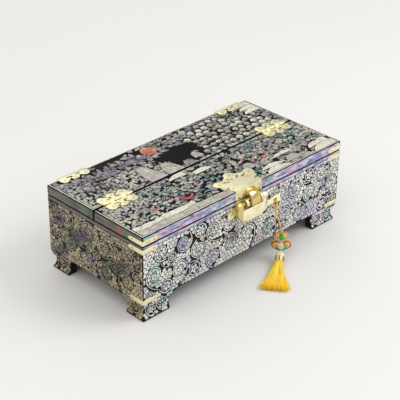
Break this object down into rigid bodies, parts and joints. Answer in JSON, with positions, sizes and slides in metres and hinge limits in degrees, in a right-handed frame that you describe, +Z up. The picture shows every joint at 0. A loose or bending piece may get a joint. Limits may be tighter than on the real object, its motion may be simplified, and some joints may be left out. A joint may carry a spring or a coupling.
{
  "type": "jewelry box",
  "caption": "Low lacquered jewelry box on bracket feet, with pearl-inlaid walls, a folding lid on brass hinges, velvet compartments, a sliding brass lock and a silk tassel.",
  "frame": {"origin": "on the table under the middle of the box with its lock and hinge knuckles, the loose tassel left out", "axes": "+Z up, the lock side faces -Y, the box's length runs along X"},
  "size_m": [0.2814, 0.202, 0.0973],
  "materials": {
    "lacquer": "wood under gloss black lacquer, inlaid with thin iridescent mother-of-pearl",
    "inner_lacquer": "wood under plain satin black lacquer",
    "velvet": "wine red velvet over board and foam",
    "brass": "pale polished brass with a fine engraved surface",
    "mirror_glass": "plain mirror",
    "gold_cord": "braided golden cord",
    "silk": "loose silk threads, yellow to orange",
    "jade": "polished green bead",
    "enamel": "glossy enamel in orange, cream and green",
    "gilt_trim": "light gilt trim"
  },
  "bodies": {
    "case": {"case_front": "lacquer", "case_back": "lacquer", "case_left": "lacquer", "case_right": "lacquer", "case_base": "inner_lacquer", "floor_pad": "velvet", "divider_long": "velvet", "divider_rear_left": "velvet", "divider_rear_right": "velvet", "divider_front": "velvet", "ring_bed": "velvet", "ring_rolls": "velvet", "foot_front_left": "lacquer", "foot_front_right": "lacquer", "foot_back_right": "lacquer", "foot_back_left": "lacquer", "strip_bottom_left": "brass", "strip_bottom_right": "brass", "strip_top_left": "brass", "strip_top_right": "brass", "rear_hinge_lower_left": "brass", "rear_hinge_lower_right": "brass", "rear_hinge_pin_left": "brass", "rear_hinge_pin_right": "brass", "lock_plate": "brass", "staple_left": "brass", "staple_right": "brass"},
    "rear_leaf": {"lid_rear_leaf": "lacquer", "lid_liner": "velvet", "mid_hinge_rear_left": "brass", "mid_hinge_rear_right": "brass", "mid_hinge_pin_left": "brass", "mid_hinge_pin_right": "brass", "rear_hinge_upper_left": "brass", "rear_hinge_upper_right": "brass"},
    "front_leaf": {"lid_front_leaf": "lacquer", "mirror_frame": "inner_lacquer", "mirror": "mirror_glass", "strip_lid_left": "brass", "strip_lid_right": "brass", "mid_hinge_front_left": "brass", "mid_hinge_front_right": "brass", "hasp_plate": "brass", "hasp_hook": "brass"},
    "lock": {"lock_body": "brass", "tassel_loop": "gold_cord", "tassel_knot": "gold_cord", "tassel_cord": "gold_cord", "tassel_flower": "gilt_trim", "tassel_green_bead": "jade", "tassel_main_bead": "enamel", "tassel_cap": "gilt_trim", "tassel_skirt": "silk"},
    "shackle": {"lock_shackle": "brass"}
  },
  "joints": [
    {"name": "lid_hinge", "type": "hinge", "parent": "case", "child": "rear_leaf", "pos_m": [0, 0.07325, 0.084], "axis": [-1, 0, 0], "range_deg": [0, 100]},
    {"name": "leaf_hinge", "type": "hinge", "parent": "rear_leaf", "child": "front_leaf", "pos_m": [0, 0.003, 0.096], "axis": [-1, 0, 0], "range_deg": [0, 180]},
    {"name": "lock_swing", "type": "hinge", "parent": "case", "child": "lock", "pos_m": [0, -0.06935, 0.08], "axis": [-1, 0, 0], "range_deg": [0, 30]},
    {"name": "lock_slide", "type": "slide", "parent": "lock", "child": "shackle", "axis": [-1, 0, 0], "range_m": [0, 0.031]}
  ]
}
